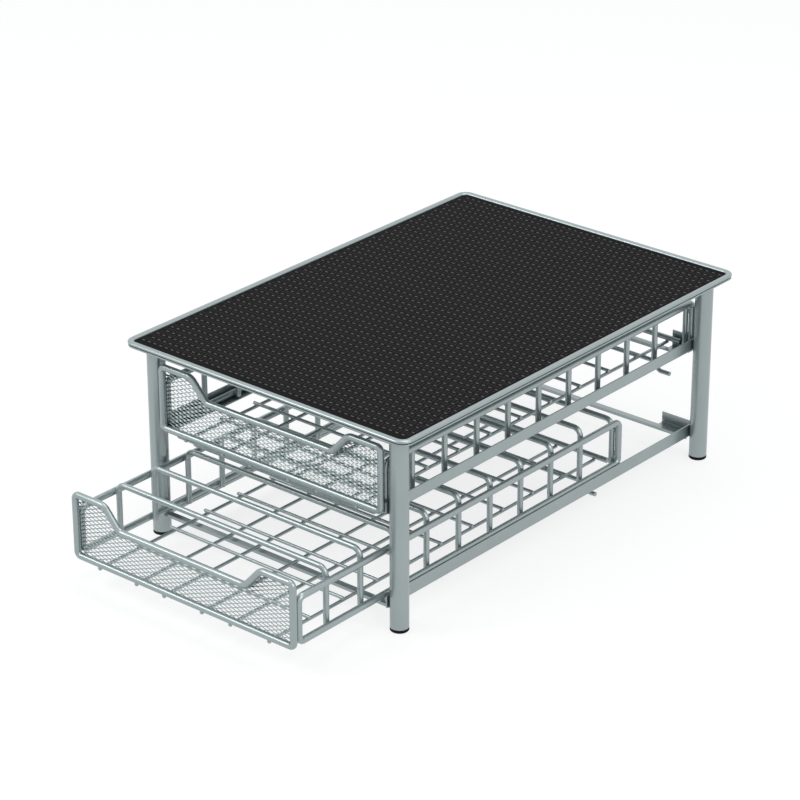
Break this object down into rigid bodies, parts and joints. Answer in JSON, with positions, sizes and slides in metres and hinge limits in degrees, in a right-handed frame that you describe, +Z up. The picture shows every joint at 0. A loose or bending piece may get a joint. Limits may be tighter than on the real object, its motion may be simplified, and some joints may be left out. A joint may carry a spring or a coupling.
{
  "type": "coffee capsule holder",
  "caption": "Low stand with a mat-topped tray on four round legs and two wire drawers on side rails, each drawer divided by hoops into rows for capsules, with a mesh front and a hand dip.",
  "frame": {"origin": "middle of the ground area of the whole object with the lower drawer open, on the floor", "axes": "+X to the right seen from the front, +Y to the back, +Z up"},
  "size_m": [0.31, 0.5504, 0.181],
  "materials": {
    "tray_paint": "satin",
    "frame_paint": "satin",
    "wire_paint": "satin",
    "mesh_paint": "satin",
    "mat_rubber": "matte",
    "cap_plastic": "matte"
  },
  "bodies": {
    "stand": {"top_tray": "tray_paint", "non_slip_mat": "mat_rubber", "leg_front_left": "frame_paint", "leg_front_right": "frame_paint", "leg_rear_left": "frame_paint", "leg_rear_right": "frame_paint", "leg_cap_front_left": "cap_plastic", "leg_cap_front_right": "cap_plastic", "leg_cap_rear_left": "cap_plastic", "leg_cap_rear_right": "cap_plastic", "upper_rail_left": "frame_paint", "upper_rail_right": "frame_paint", "lower_rail_left": "frame_paint", "lower_rail_right": "frame_paint", "upper_front_crossbar": "frame_paint", "upper_rear_crossbar": "frame_paint", "lower_front_crossbar": "frame_paint", "lower_rear_crossbar": "frame_paint"},
    "upper_drawer": {"upper_front_frame": "wire_paint", "upper_front_mesh": "mesh_paint", "upper_side_loop_left": "wire_paint", "upper_side_loop_right": "wire_paint", "upper_rear_hoop": "wire_paint", "upper_rear_floor_wire": "wire_paint", "upper_floor_runners": "wire_paint", "upper_floor_cross_wires": "wire_paint", "upper_stop_wire": "wire_paint", "upper_divider_1": "wire_paint", "upper_divider_2": "wire_paint", "upper_divider_3": "wire_paint", "upper_divider_4": "wire_paint", "upper_divider_5": "wire_paint", "upper_divider_6": "wire_paint", "upper_divider_7": "wire_paint", "upper_divider_8": "wire_paint", "upper_divider_9": "wire_paint"},
    "lower_drawer": {"lower_front_frame": "wire_paint", "lower_front_mesh": "mesh_paint", "lower_side_loop_left": "wire_paint", "lower_side_loop_right": "wire_paint", "lower_rear_hoop": "wire_paint", "lower_rear_floor_wire": "wire_paint", "lower_floor_runners": "wire_paint", "lower_floor_cross_wires": "wire_paint", "lower_stop_wire": "wire_paint", "lower_divider_1": "wire_paint", "lower_divider_2": "wire_paint", "lower_divider_3": "wire_paint", "lower_divider_4": "wire_paint", "lower_divider_5": "wire_paint", "lower_divider_6": "wire_paint", "lower_divider_7": "wire_paint", "lower_divider_8": "wire_paint", "lower_divider_9": "wire_paint"}
  },
  "joints": [
    {"name": "upper_drawer_slide", "type": "slide", "parent": "stand", "child": "upper_drawer", "axis": [0, -1, 0], "range_m": [0, 0.3767]},
    {"name": "lower_drawer_slide", "type": "slide", "parent": "stand", "child": "lower_drawer", "axis": [0, -1, 0], "range_m": [-0.1058, 0.2709]}
  ]
}
